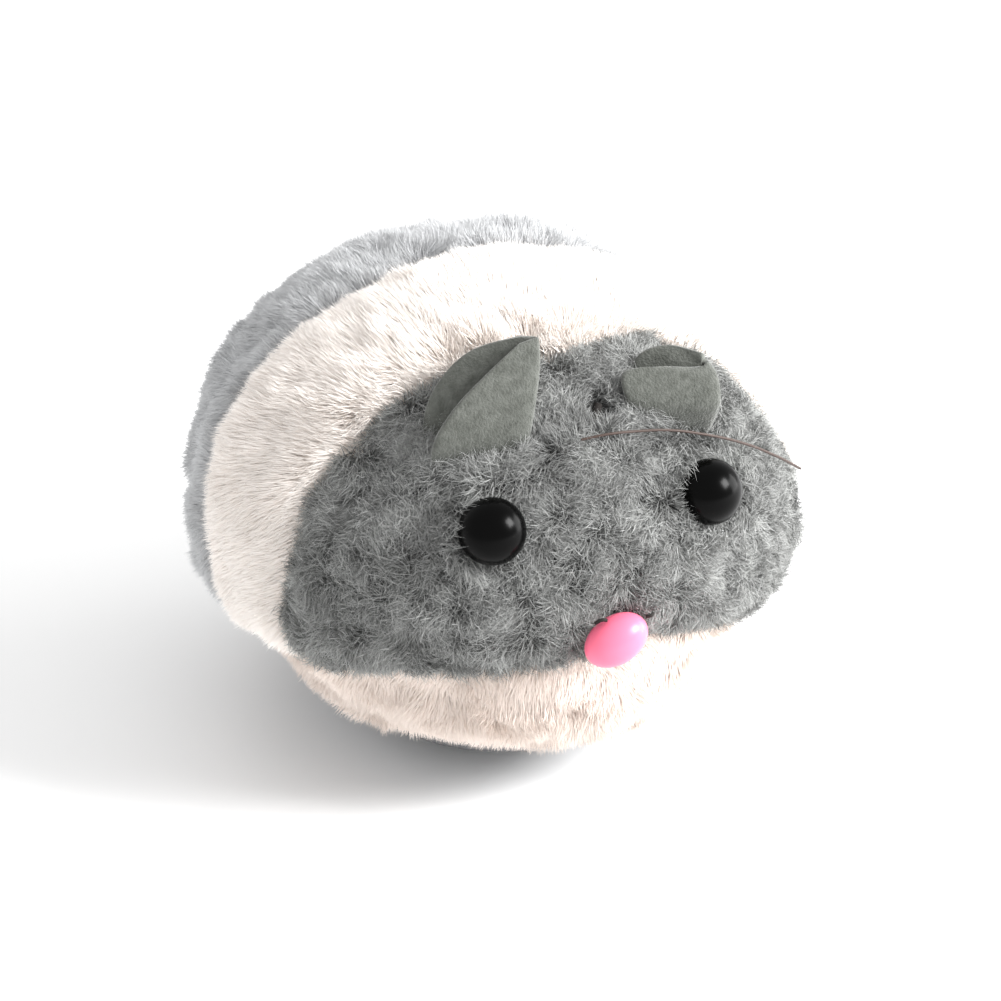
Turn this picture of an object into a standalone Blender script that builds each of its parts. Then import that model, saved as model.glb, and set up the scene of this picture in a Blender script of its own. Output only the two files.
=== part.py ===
"""Clockwork plush mouse: sewn plush covers and stuffing round a key-wound, wheel-driven movement.

+Z is up, -Y is the nose, +X is the mouse's left side and the floor is at z = 0.
"""

import math

import bmesh
import bpy
from mathutils import Vector

MM = 0.001

# Body.
HALF_WIDTH = 32.5 * MM
HALF_LENGTH = 37.5 * MM
BODY_Y = 1.0 * MM
BODY_MID_Z = 28.7 * MM
BODY_RISE = 27.2 * MM
BODY_DROP = 26.1 * MM
BELLY_SQUARENESS = 2.4
COVER_WALL = 3.3 * MM
OPENING_RATIO = 0.70
HEAD_SEAM_Y = -15.8 * MM
RUMP_SEAM_Y = 3.8 * MM
BELLY_LINE_Z = 18.0 * MM
BELLY_LINE_SLOPE = -0.16

# Face.
EYE_RADIUS = 3.4 * MM
EYE_HEIGHT = 3.1 * MM
EYE_AT = (13.7 * MM, -32.1 * MM, 10.1 * MM)
NOSE_RADIUS = 2.5 * MM
NOSE_STRETCH = 1.26
NOSE_HEIGHT = 2.9 * MM
NOSE_AT = (0.0, -39.0 * MM, -3.0 * MM)
NOSE_TILT = math.radians(12)
STEM_RADIUS = 1.1 * MM
BEAD_STEPS = 16
POCKET_DEPTH = 1.3 * MM
WASHER_RADIUS = 4.0 * MM
WASHER_THICKNESS = 1.2 * MM
RIGHT_EAR_HALF = (6.2 * MM, 2.2 * MM, 8.2 * MM)
RIGHT_EAR_AT = (-9.0 * MM, -25.2 * MM, 50.6 * MM)
RIGHT_EAR_LEAN = math.radians(24)
LEFT_EAR_HALF = (7.2 * MM, 2.8 * MM, 5.6 * MM)
LEFT_EAR_AT = (10.2 * MM, -25.0 * MM, 48.6 * MM)
LEFT_EAR_LEAN = math.radians(18)

# Fits.
FIT = 0.3 * MM
BEARING_FIT = 0.2 * MM

# Wheels and base plate.
WHEEL_RADIUS = 8.5 * MM
WHEEL_WIDTH = 3.2 * MM
WHEEL_INNER_X = 10.7 * MM
TYRE_DEPTH = 1.2 * MM
AXLE_RADIUS = 1.0 * MM
AXLE_Y = 10.0 * MM
ROLLER_RADIUS = 3.6 * MM
ROLLER_HALF_WIDTH = 4.0 * MM
ROLLER_Y = -10.5 * MM
ROLLER_AXLE_RADIUS = 0.8 * MM
PLATE_LOW = 3.2 * MM
PLATE_THICKNESS = 1.6 * MM
PLATE_RIM = 1.4 * MM
PLATE_RIM_TOP = 10.3 * MM
PLATE_SHOULDER = 7.8 * MM
PLATE_FLAT_RATIO = 0.76
ARCH_GAP = 0.8 * MM
ARCH_WALL = 0.9 * MM
LUG_THICKNESS = 1.5 * MM

# Movement.
CASE_HALF_WIDTH = 9.8 * MM
CASE_WALL = 1.2 * MM
TRAIN_ROOM = 0.6 * MM
GREAT_MODULE = 0.5 * MM
TRAIN_MODULE = 0.4 * MM
GREAT_TEETH = 40
AXLE_TEETH = 12
FIRST_PINION_TEETH = 10
FIRST_TEETH = 36
SECOND_PINION_TEETH = 10
SECOND_TEETH = 30
ESCAPE_PINION_TEETH = 8
ESCAPE_TEETH = 12
ESCAPE_RADIUS = 3.6 * MM
RATCHET_TEETH = 12
RATCHET_RADIUS = 4.4 * MM
FIRST_DIRECTION = math.radians(180 + 25)
SECOND_DIRECTION = math.radians(180 - 35)
ESCAPE_DIRECTION = math.radians(180 + 30)
PALLET_DIRECTION = math.radians(180 - 20)
PALLET_DISTANCE = 5.6 * MM
ARBOR_RADIUS = 1.5 * MM
STAFF_RADIUS = 0.5 * MM
SPRING_RADIUS = 8.0 * MM
SPRING_TURNS = 5
SPRING_THICKNESS = 0.35 * MM
SCREW_RADIUS = 0.8 * MM
SCREW_HEAD = 1.5 * MM
SCREW_SIDES = 10
BOSS_RADIUS = 2.4 * MM

# Where each flat piece of the movement lies along its shaft.
SPRING_X = (-7.6 * MM, -2.4 * MM)
GREAT_X = (-1.6 * MM, -0.1 * MM)
GREAT_PINION_X = (-2.0 * MM, 0.3 * MM)
RATCHET_X = (0.2 * MM, 1.4 * MM)
FIRST_X = (3.0 * MM, 4.0 * MM)
FIRST_PINION_X = (2.6 * MM, 4.4 * MM)
SECOND_X = (-5.0 * MM, -4.0 * MM)
SECOND_PINION_X = (-5.4 * MM, -3.6 * MM)
ESCAPE_X = (-2.0 * MM, -1.0 * MM)

# Key.
KEY_COLLAR_X = HALF_WIDTH - 0.9 * MM
KEY_COLLAR_RADIUS = 2.4 * MM
KEY_COLLAR_LENGTH = 4.0 * MM
KEY_WING_RADIUS = 3.2 * MM
KEY_WING_SPREAD = 3.4 * MM
KEY_WING_HOLE = 1.5 * MM
KEY_THICKNESS = 1.8 * MM
KEY_CENTRE_X = KEY_COLLAR_X + 1.6 * MM + KEY_WING_RADIUS
KEY_TIP_X = KEY_CENTRE_X + KEY_WING_RADIUS

# The row's origin is under the middle of the whole part's box.
NOSE_TIP_Y = BODY_Y - HALF_LENGTH - NOSE_HEIGHT + POCKET_DEPTH
MOUSE_X = -(KEY_TIP_X - HALF_WIDTH) / 2
MOUSE_Y = -(NOSE_TIP_Y + BODY_Y + HALF_LENGTH) / 2

# The shafts' centres, as (y, z).
AXLE_AT = (AXLE_Y, WHEEL_RADIUS)
ROLLER_AT = (ROLLER_Y, ROLLER_RADIUS)


def from_centre(start, direction, distance):
    """The point at this distance from another, in the plane across the shafts."""
    return (start[0] + distance * math.cos(direction), start[1] + distance * math.sin(direction))


def centre_distance(first_teeth, second_teeth, module):
    return (first_teeth + second_teeth) * module / 2


ARBOR_AT = (AXLE_Y, WHEEL_RADIUS + centre_distance(GREAT_TEETH, AXLE_TEETH, GREAT_MODULE))
FIRST_AT = from_centre(
    ARBOR_AT, FIRST_DIRECTION, centre_distance(GREAT_TEETH, FIRST_PINION_TEETH, GREAT_MODULE)
)
SECOND_AT = from_centre(
    FIRST_AT, SECOND_DIRECTION, centre_distance(FIRST_TEETH, SECOND_PINION_TEETH, TRAIN_MODULE)
)
ESCAPE_AT = from_centre(
    SECOND_AT, ESCAPE_DIRECTION, centre_distance(SECOND_TEETH, ESCAPE_PINION_TEETH, TRAIN_MODULE)
)
PALLET_AT = from_centre(ESCAPE_AT, PALLET_DIRECTION, PALLET_DISTANCE)


def new_collection(name):
    collection = bpy.data.collections.new(name)
    bpy.context.scene.collection.children.link(collection)
    return collection


for leftover in list(bpy.data.objects):
    bpy.data.objects.remove(leftover, do_unlink=True)
PARTS = new_collection("clockwork_mouse")
CUTTERS = new_collection("cutters")


def material(name, colour, roughness, metallic=0.0):
    made = bpy.data.materials.new(name)
    made.use_nodes = True
    shader = made.node_tree.nodes["Principled BSDF"]
    shader.inputs["Base Color"].default_value = (*colour, 1.0)
    shader.inputs["Roughness"].default_value = roughness
    shader.inputs["Metallic"].default_value = metallic
    return made


GREY_PLUSH = material("grey_plush", (0.29, 0.29, 0.28), 0.95)
WHITE_PLUSH = material("white_plush", (0.90, 0.88, 0.84), 0.95)
RUMP_PLUSH = material("rump_plush", (0.55, 0.55, 0.54), 0.95)
BELLY_PLUSH = material("belly_plush", (0.76, 0.67, 0.58), 0.95)
EAR_FELT = material("ear_felt", (0.27, 0.27, 0.26), 0.95)
FIBREFILL = material("fibrefill", (0.85, 0.85, 0.83), 0.95)
BLACK_BEAD = material("black_bead", (0.01, 0.01, 0.01), 0.08)
PINK_BEAD = material("pink_bead", (0.96, 0.45, 0.66), 0.2)
CLEAR_WASHER = material("washer_plastic", (0.8, 0.8, 0.78), 0.4)
BASE_PLASTIC = material("base_plastic", (0.12, 0.12, 0.13), 0.45)
CASE_PLASTIC = material("case_plastic", (0.75, 0.75, 0.72), 0.4)
GEAR_PLASTIC = material("gear_plastic", (0.86, 0.84, 0.78), 0.4)
KEY_PLASTIC = material("key_plastic", (0.14, 0.14, 0.15), 0.35)
WHEEL_PLASTIC = material("wheel_plastic", (0.14, 0.14, 0.15), 0.4)
TYRE_RUBBER = material("tyre_rubber", (0.03, 0.03, 0.03), 0.8)
SHAFT_STEEL = material("shaft_steel", (0.6, 0.6, 0.6), 0.3, 1.0)
SPRING_STEEL = material("spring_steel", (0.35, 0.36, 0.4), 0.3, 1.0)
SCREW_STEEL = material("screw_steel", (0.5, 0.5, 0.5), 0.35, 1.0)
BRASS = material("brass", (0.78, 0.57, 0.25), 0.3, 1.0)


def at(x, y, z):
    """A point of the mouse, in the row's frame."""
    return Vector((MOUSE_X + x, MOUSE_Y + y, z))


def add_part(obj, name, surface):
    """Files a new object as a named part with its material."""
    obj.name = name
    obj.data.name = name
    for owner in list(obj.users_collection):
        owner.objects.unlink(obj)
    PARTS.objects.link(obj)
    obj.data.materials.clear()
    obj.data.materials.append(surface)
    return obj


def add_cutter(obj, name):
    obj.name = name
    for owner in list(obj.users_collection):
        owner.objects.unlink(obj)
    CUTTERS.objects.link(obj)
    obj.hide_render = True
    obj.display_type = "WIRE"
    return obj


def file_object(obj, name, surface):
    return add_cutter(obj, name) if surface is None else add_part(obj, name, surface)


def boolean(target, other, operation="DIFFERENCE"):
    modifier = target.modifiers.new(other.name, "BOOLEAN")
    modifier.operation = operation
    modifier.solver = "EXACT"
    modifier.object = other


def circle(radius, sides=16, centre=(0.0, 0.0)):
    """A closed outline with a vertex straight below its centre."""
    step = 2 * math.pi / sides
    return [from_centre(centre, side * step, radius) for side in range(sides)]


def moved(points, centre):
    return [(point[0] + centre[0], point[1] + centre[1]) for point in points]


def grown(points, margin):
    """An anticlockwise outline with every edge moved outwards by the margin."""
    result = []
    for index, point in enumerate(points):
        before = Vector(point) - Vector(points[index - 1])
        after = Vector(points[(index + 1) % len(points)]) - Vector(point)
        first = Vector((before.y, -before.x)).normalized()
        second = Vector((after.y, -after.x)).normalized()
        corner = (first + second) / (1 + first.dot(second))
        result.append(tuple(Vector(point) + margin * corner))
    return result


def flat_mesh(name, outlines, thickness):
    """A closed flat solid between its outlines, the later ones being holes, centred on its own plane."""
    curve = bpy.data.curves.new(name, "CURVE")
    curve.dimensions = "2D"
    curve.fill_mode = "BOTH"
    curve.extrude = thickness / 2
    for outline in outlines:
        spline = curve.splines.new("POLY")
        spline.points.add(len(outline) - 1)
        for point, place in zip(spline.points, outline):
            point.co = (*place, 0.0, 1.0)
        spline.use_cyclic_u = True
    source = bpy.data.objects.new(name, curve)
    PARTS.objects.link(source)
    bpy.context.view_layer.update()
    mesh = bpy.data.meshes.new_from_object(source)
    bpy.data.objects.remove(source, do_unlink=True)
    bpy.data.curves.remove(curve)
    shape = bmesh.new()
    shape.from_mesh(mesh)
    bmesh.ops.remove_doubles(shape, verts=shape.verts, dist=0.001 * MM)
    bmesh.ops.recalc_face_normals(shape, faces=shape.faces)
    shape.to_mesh(mesh)
    shape.free()
    return mesh


def plate(name, outlines, span, centre, surface=None):
    """A flat piece across the shafts: outlines in (y, z) about its centre, filling this span of x."""
    mesh = flat_mesh(name, outlines, span[1] - span[0])
    obj = bpy.data.objects.new(name, mesh)
    obj.location = at((span[0] + span[1]) / 2, *centre)
    obj.rotation_euler = (math.pi / 2, 0.0, math.pi / 2)
    return file_object(obj, name, surface)


def upright_disc(name, radius, span, x, y, surface=None, sides=24):
    """A round piece about a vertical axis, filling this span of z."""
    mesh = flat_mesh(name, [circle(radius, sides)], span[1] - span[0])
    obj = bpy.data.objects.new(name, mesh)
    obj.location = at(x, y, (span[0] + span[1]) / 2)
    return file_object(obj, name, surface)


def box(name, low, high, surface=None):
    bpy.ops.mesh.primitive_cube_add(size=1)
    obj = bpy.context.object
    obj.location = at(*((a + b) / 2 for a, b in zip(low, high)))
    obj.scale = [b - a for a, b in zip(low, high)]
    return file_object(obj, name, surface)


def turned(name, profile, place, surface=None, stretch=(1.0, 1.0), closed=False, steps=32):
    """A piece turned about its own Z axis from a profile of (radius, height) points, top to bottom."""
    mesh = bpy.data.meshes.new(name)
    edges = [(index, index + 1) for index in range(len(profile) - 1)]
    if closed:
        edges.append((len(profile) - 1, 0))
    mesh.from_pydata([(radius, 0.0, height) for radius, height in profile], edges, [])
    obj = bpy.data.objects.new(name, mesh)
    obj.location = place
    obj.scale = (*stretch, 1.0)
    file_object(obj, name, surface)
    screw = obj.modifiers.new("turn", "SCREW")
    screw.steps = steps
    screw.render_steps = steps
    screw.use_merge_vertices = True
    screw.merge_threshold = 0.01 * MM
    return obj


def toothed(teeth, module, phase):
    """The outline of a gear with straight-sided teeth, slim enough to run clear of its mate."""
    pitch_radius = teeth * module / 2
    root = pitch_radius - 1.1 * module
    tip = pitch_radius + 0.8 * module
    pitch = 2 * math.pi / teeth
    corners = ((root, -0.31), (tip, -0.08), (tip, 0.08), (root, 0.31))
    return [
        from_centre((0.0, 0.0), phase + (tooth + turn) * pitch, radius)
        for tooth in range(teeth)
        for radius, turn in corners
    ]


def saw_toothed(teeth, tip, root, phase):
    """The outline of a wheel whose teeth have one steep face."""
    pitch = 2 * math.pi / teeth
    corners = ((root, 0.0), (tip, 0.05), (root, 0.75))
    return [
        from_centre((0.0, 0.0), phase + (tooth + turn) * pitch, radius)
        for tooth in range(teeth)
        for radius, turn in corners
    ]


def tip_radius(teeth, module):
    return teeth * module / 2 + 0.8 * module


def meshed_phase(driver_at, driven_at, driver_teeth, driven_teeth, driver_phase):
    """The phase that puts a gap of the driven gear over each tooth of its driver."""
    towards = math.atan2(driven_at[1] - driver_at[1], driven_at[0] - driver_at[0])
    carried = (towards - driver_phase) * driver_teeth / driven_teeth
    return towards + math.pi + math.pi / driven_teeth + carried


def shaft(name, radius, span, centre, surface, sides=8):
    return plate(name, [circle(radius, sides)], span, centre, surface)


# ---------------------------------------------------------------- covers and stuffing


def body_profile(inset, top_turns=7, drop_turns=5):
    """The half outline of the body, from the top down to the opening, this far inside the covers."""
    radius = HALF_WIDTH - inset
    points = []
    for turn in range(top_turns + 1):
        angle = math.pi / 2 * turn / top_turns
        height = BODY_MID_Z + (BODY_RISE - inset) * math.cos(angle)
        points.append((radius * math.sin(angle), height))
    edge = HALF_WIDTH * OPENING_RATIO / radius
    last = math.acos(edge ** (BELLY_SQUARENESS / 2))
    for turn in range(1, drop_turns + 1):
        angle = last * turn / drop_turns
        across = math.cos(angle) ** (2 / BELLY_SQUARENESS)
        down = math.sin(angle) ** (2 / BELLY_SQUARENESS)
        points.append((radius * across, BODY_MID_Z - (BODY_DROP - inset) * down))
    return points


LENGTHEN = (1.0, HALF_LENGTH / HALF_WIDTH)
BODY_FOOT = at(0.0, BODY_Y, 0.0)
SHELL = body_profile(0.0) + body_profile(COVER_WALL)[::-1]
FAR = 60 * MM

ABOVE_BELLY = box("above_belly", (-FAR, -FAR, 0.0), (FAR, FAR, FAR))
BELOW_BELLY = box("below_belly", (-FAR, -FAR, -FAR), (FAR, FAR, 0.0))
for half, side in ((ABOVE_BELLY, 1), (BELOW_BELLY, -1)):
    half.rotation_euler.x = math.atan(BELLY_LINE_SLOPE)
    rise = side * (FAR / 2 + FIT / 2)
    half.location = at(0.0, 0.0, BELLY_LINE_Z) + half.rotation_euler.to_matrix() @ Vector((0, 0, rise))


def cover(name, surface, front, rear):
    obj = turned(name, SHELL, BODY_FOOT, surface, LENGTHEN)
    zone = box(name + "_zone", (-FAR, front, -FAR), (FAR, rear, 2 * FAR))
    boolean(obj, zone, "INTERSECT")
    boolean(obj, ABOVE_BELLY, "INTERSECT")
    return obj


HEAD = cover("head_cover", GREY_PLUSH, -FAR, HEAD_SEAM_Y - FIT / 2)
cover("saddle_cover", WHITE_PLUSH, HEAD_SEAM_Y + FIT / 2, RUMP_SEAM_Y - FIT / 2)
RUMP = cover("rump_cover", RUMP_PLUSH, RUMP_SEAM_Y + FIT / 2, FAR)
BELLY = turned("belly_cover", SHELL, BODY_FOOT, BELLY_PLUSH, LENGTHEN)
boolean(BELLY, BELOW_BELLY, "INTERSECT")

STUFFING_LOW = PLATE_RIM_TOP + 0.5 * MM
lining = [point for point in body_profile(COVER_WALL + FIT) if point[1] > STUFFING_LOW]
lining.append((lining[-1][0] - 0.5 * MM, STUFFING_LOW))
lining.append((0.0, STUFFING_LOW))
STUFFING = turned("stuffing", lining, BODY_FOOT, FIBREFILL, LENGTHEN)

# ---------------------------------------------------------------- face


def on_body(direction, side=1):
    """Where this direction from the body's middle leaves the covers, and the way they face there."""
    halves = (HALF_WIDTH, HALF_LENGTH, BODY_RISE)
    ray = Vector((side * direction[0], direction[1], direction[2]))
    reach = math.sqrt(sum((part / half) ** 2 for part, half in zip(ray, halves)))
    ray /= reach
    outward = Vector([part / half**2 for part, half in zip(ray, halves)]).normalized()
    return at(*ray) + Vector((0.0, BODY_Y, BODY_MID_Z)), outward


def bead(name, surface, radius, height, direction, side=1, stretch=1.0, tilt=0.0):
    """A domed bead on a stem through the head cover, and the washer that holds it from inside."""
    place, outward = on_body(direction, side)
    base = place - POCKET_DEPTH * outward
    turn = outward.to_track_quat("Z", "Y").to_euler()
    turn.rotate_axis("Z", tilt)
    washer_dip = WASHER_RADIUS**2 * HALF_LENGTH / HALF_WIDTH**2
    washer_top = POCKET_DEPTH - COVER_WALL * HALF_LENGTH / HALF_WIDTH - 2 * FIT - washer_dip
    washer_low = washer_top - WASHER_THICKNESS
    stem_end = washer_low - 2 * FIT
    turns = [math.pi / 8 * step for step in range(5)]
    dome = [(radius * math.sin(angle), height * math.cos(angle)) for angle in turns]
    stem = [(STEM_RADIUS, 0.0), (STEM_RADIUS, stem_end), (0.0, stem_end)]
    obj = turned(name, dome + stem, base, surface, (stretch, 1.0), steps=BEAD_STEPS)
    obj.rotation_euler = turn

    pocket = turned(
        name + "_pocket",
        [(0.0, 9 * MM), (radius + 0.4 * MM, 9 * MM), (radius + 0.4 * MM, -FIT)]
        + [(STEM_RADIUS + FIT, -FIT), (STEM_RADIUS + FIT, 2 * stem_end), (0.0, 2 * stem_end)],
        base,
        None,
        (stretch, 1.0),
        steps=BEAD_STEPS,
    )
    pocket.rotation_euler = turn
    for panel in (HEAD, BELLY):
        boolean(panel, pocket)

    ring = [
        (STEM_RADIUS + FIT, washer_top),
        (WASHER_RADIUS, washer_top),
        (WASHER_RADIUS, washer_low),
        (STEM_RADIUS + FIT, washer_low),
    ]
    washer = turned(
        name + "_washer", ring, base, CLEAR_WASHER, (stretch, 1.0), closed=True, steps=BEAD_STEPS
    )
    washer.rotation_euler = turn

    room_radius = WASHER_RADIUS + FIT
    room_end = stem_end - 2 * MM
    room = turned(
        name + "_room",
        [(0.0, 0.0), (room_radius, 0.0), (room_radius, room_end), (0.0, room_end)],
        base,
        None,
        (stretch, 1.0),
        steps=BEAD_STEPS,
    )
    room.rotation_euler = turn
    boolean(STUFFING, room)
    return obj


bead("right_eye", BLACK_BEAD, EYE_RADIUS, EYE_HEIGHT, EYE_AT, side=-1)
bead("left_eye", BLACK_BEAD, EYE_RADIUS, EYE_HEIGHT, EYE_AT)
bead("nose", PINK_BEAD, NOSE_RADIUS, NOSE_HEIGHT, NOSE_AT, stretch=NOSE_STRETCH, tilt=NOSE_TILT)

outside = [(radius * (1 + FIT / HALF_WIDTH), height + FIT) for radius, height in body_profile(0.0)]
outside.append((0.0, outside[-1][1]))
HEAD_ROOM = turned("head_room", outside, BODY_FOOT, None, LENGTHEN)


def ear(name, half, place, lean):
    bpy.ops.mesh.primitive_uv_sphere_add(segments=16, ring_count=10, radius=1)
    obj = bpy.context.object
    obj.location = at(*place)
    obj.scale = half
    obj.rotation_euler.y = lean
    add_part(obj, name, EAR_FELT)
    boolean(obj, HEAD_ROOM)


ear("right_ear", RIGHT_EAR_HALF, RIGHT_EAR_AT, RIGHT_EAR_LEAN)
ear("left_ear", LEFT_EAR_HALF, LEFT_EAR_AT, LEFT_EAR_LEAN)

# ---------------------------------------------------------------- movement case

GREAT_TIP = tip_radius(GREAT_TEETH, GREAT_MODULE)
CASE_REAR = ARBOR_AT[0] + GREAT_TIP + TRAIN_ROOM + CASE_WALL
CASE_TOP = ARBOR_AT[1] + GREAT_TIP + TRAIN_ROOM + CASE_WALL
CASE_FLOOR = PLATE_LOW + PLATE_THICKNESS + FIT
CASE_FRONT = PALLET_AT[0] - 4.3 * MM
SECOND_TIP = tip_radius(SECOND_TEETH, TRAIN_MODULE)
SECOND_TOP = SECOND_AT[1] + SECOND_TIP + TRAIN_ROOM + CASE_WALL

REAR_SCREW_DIRECTION = math.radians(-48.6)
UPPER_SCREW_DIRECTION = math.radians(146.5)
BOSS_DISTANCE = GREAT_TIP + TRAIN_ROOM + BOSS_RADIUS + 0.2 * MM
REAR_SCREW_AT = from_centre(ARBOR_AT, REAR_SCREW_DIRECTION, BOSS_DISTANCE)
UPPER_SCREW_AT = from_centre(ARBOR_AT, UPPER_SCREW_DIRECTION, BOSS_DISTANCE)

CASE_OUTLINE = [
    (AXLE_Y + 6.6 * MM, CASE_FLOOR),
    (CASE_REAR, REAR_SCREW_AT[1] - 0.7 * MM),
    (CASE_REAR, CASE_TOP),
    (ARBOR_AT[0] - 7.5 * MM, CASE_TOP),
    (SECOND_AT[0] + 4.9 * MM, SECOND_TOP + 0.9 * MM),
    (SECOND_AT[0] - 7.1 * MM, SECOND_TOP - 0.2 * MM),
    (CASE_FRONT, PALLET_AT[1] + 7.9 * MM),
    (CASE_FRONT, PALLET_AT[1] - 1.1 * MM),
    (PALLET_AT[0] + 0.7 * MM, ESCAPE_AT[1] - 5.7 * MM),
    (ROLLER_Y - 1.5 * MM, ESCAPE_AT[1] - 6.4 * MM),
    (FIRST_AT[0] - 4.2 * MM, CASE_FLOOR),
]
CASE_INSIDE = grown(CASE_OUTLINE, -CASE_WALL)
CASE_SCREWS = [
    (CASE_REAR - 2.7 * MM, CASE_TOP - 2.7 * MM),
    UPPER_SCREW_AT,
    (CASE_FRONT + 2.8 * MM, PALLET_AT[1] + 5.0 * MM),
    REAR_SCREW_AT,
]
BASE_SCREWS = [
    (side * 6.2 * MM, y) for side in (-1, 1) for y in (FIRST_AT[0] - 1.2 * MM, AXLE_Y + 4.2 * MM)
]
BASE_BOSS_TOP = CASE_FLOOR + 2.9 * MM
FOOT_RADIUS = 2.2 * MM
BASE_SCREW_TOP = BASE_BOSS_TOP - 0.6 * MM
STAFFS = (FIRST_AT, SECOND_AT, ESCAPE_AT, PALLET_AT)


def case_half(name, side):
    """One moulded half: a side wall, its rim, and the bosses that its screws run through."""

    def span(inner, outer):
        return tuple(sorted((side * inner, side * outer)))

    split = FIT / 2
    obj = plate(name, [CASE_OUTLINE], span(split, CASE_HALF_WIDTH), (0.0, 0.0), CASE_PLASTIC)
    hollow = plate(name + "_hollow", [CASE_INSIDE], span(-MM, CASE_HALF_WIDTH - CASE_WALL), (0.0, 0.0))
    boolean(obj, hollow)
    for number, centre in enumerate(CASE_SCREWS, 1):
        boss_span = span(split + 0.3 * MM, CASE_HALF_WIDTH - 0.3 * MM)
        boss = plate(f"{name}_boss_{number}", [circle(BOSS_RADIUS, 12)], boss_span, centre)
        boolean(obj, boss, "UNION")
    for number, (x, y) in enumerate(BASE_SCREWS, 1):
        if x * side < 0:
            continue
        foot_span = (CASE_FLOOR + 0.3 * MM, BASE_BOSS_TOP)
        foot = upright_disc(f"{name}_foot_{number}", FOOT_RADIUS, foot_span, x, y, sides=12)
        boolean(obj, foot, "UNION")
        pilot_span = (0.0, BASE_BOSS_TOP - 0.3 * MM)
        pilot = upright_disc(
            f"{name}_pilot_{number}", SCREW_RADIUS + FIT, pilot_span, x, y, sides=SCREW_SIDES
        )
        boolean(obj, pilot)
    return obj


CASE_RIGHT = case_half("case_right", -1)
CASE_LEFT = case_half("case_left", 1)

for number, centre in enumerate(CASE_SCREWS, 1):
    bore_outline = circle(SCREW_RADIUS + FIT, SCREW_SIDES)
    bore = plate(f"case_screw_bore_{number}", [bore_outline], (-12 * MM, 7 * MM), centre)
    sink_outline = circle(SCREW_HEAD + FIT, SCREW_SIDES)
    sink = plate(f"case_screw_sink_{number}", [sink_outline], (-12 * MM, -8.6 * MM), centre)
    boolean(CASE_RIGHT, bore)
    boolean(CASE_RIGHT, sink)
    boolean(CASE_LEFT, bore)
    head = [(0.0, 0.9 * MM), (SCREW_HEAD, 0.9 * MM), (SCREW_HEAD, 0.0), (SCREW_RADIUS, 0.0)]
    point = [(SCREW_RADIUS, -15.0 * MM), (0.0, -15.0 * MM)]
    screw_place = at(-8.6 * MM, *centre)
    screw = turned(f"case_screw_{number}", head + point, screw_place, SCREW_STEEL, steps=SCREW_SIDES)
    screw.rotation_euler.y = -math.pi / 2

AXLE_GEAR_ROOM = tip_radius(AXLE_TEETH, GREAT_MODULE) + TRAIN_ROOM
window = box(
    "pinion_window",
    (GREAT_PINION_X[0] - TRAIN_ROOM, AXLE_Y - AXLE_GEAR_ROOM, 0.0),
    (GREAT_PINION_X[1] + TRAIN_ROOM, AXLE_Y + AXLE_GEAR_ROOM, WHEEL_RADIUS),
)
for half in (CASE_RIGHT, CASE_LEFT):
    boolean(half, window)
    for number, centre in enumerate(STAFFS, 1):
        bearing = circle(STAFF_RADIUS + BEARING_FIT + 0.05 * MM, 8)
        hole = plate(f"{half.name}_bearing_{number}", [bearing], (-FAR, FAR), centre)
        boolean(half, hole)
    arbor_hole = plate(f"{half.name}_arbor_hole", [circle(ARBOR_RADIUS + FIT, 16)], (-FAR, FAR), ARBOR_AT)
    boolean(half, arbor_hole)
    axle_hole = plate(f"{half.name}_axle_hole", [circle(AXLE_RADIUS + FIT, 16)], (-FAR, FAR), AXLE_AT)
    boolean(half, axle_hole)

case_room_span = (-CASE_HALF_WIDTH - FIT, CASE_HALF_WIDTH + FIT)
case_room = plate("case_room", [grown(CASE_OUTLINE, 0.4 * MM)], case_room_span, (0.0, 0.0))
boolean(STUFFING, case_room)

# ---------------------------------------------------------------- gear train

GREAT_PHASE = math.pi / 2
AXLE_PHASE = meshed_phase(ARBOR_AT, AXLE_AT, GREAT_TEETH, AXLE_TEETH, GREAT_PHASE)
FIRST_PHASE = meshed_phase(ARBOR_AT, FIRST_AT, GREAT_TEETH, FIRST_PINION_TEETH, GREAT_PHASE)
SECOND_PHASE = meshed_phase(FIRST_AT, SECOND_AT, FIRST_TEETH, SECOND_PINION_TEETH, 0.0)
ESCAPE_PHASE = meshed_phase(SECOND_AT, ESCAPE_AT, SECOND_TEETH, ESCAPE_PINION_TEETH, 0.0)

ARBOR_BORE = circle(ARBOR_RADIUS + FIT, 16)
STAFF_BORE = circle(STAFF_RADIUS + 0.25 * MM, 8)
STAFF_SPAN = (-CASE_HALF_WIDTH + 0.4 * MM, CASE_HALF_WIDTH - 0.4 * MM)

great_teeth = toothed(GREAT_TEETH, GREAT_MODULE, GREAT_PHASE)
plate("great_wheel", [great_teeth, ARBOR_BORE], GREAT_X, ARBOR_AT, GEAR_PLASTIC)


def staff_set(name, centre, wheel, wheel_span, pinion, pinion_span):
    """A wheel and a pinion pressed on one steel staff."""
    plate(name + "_wheel", [wheel, STAFF_BORE], wheel_span, centre, GEAR_PLASTIC)
    plate(name + "_pinion", [pinion, STAFF_BORE], pinion_span, centre, GEAR_PLASTIC)
    shaft(name + "_staff", STAFF_RADIUS, STAFF_SPAN, centre, SHAFT_STEEL)


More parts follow.
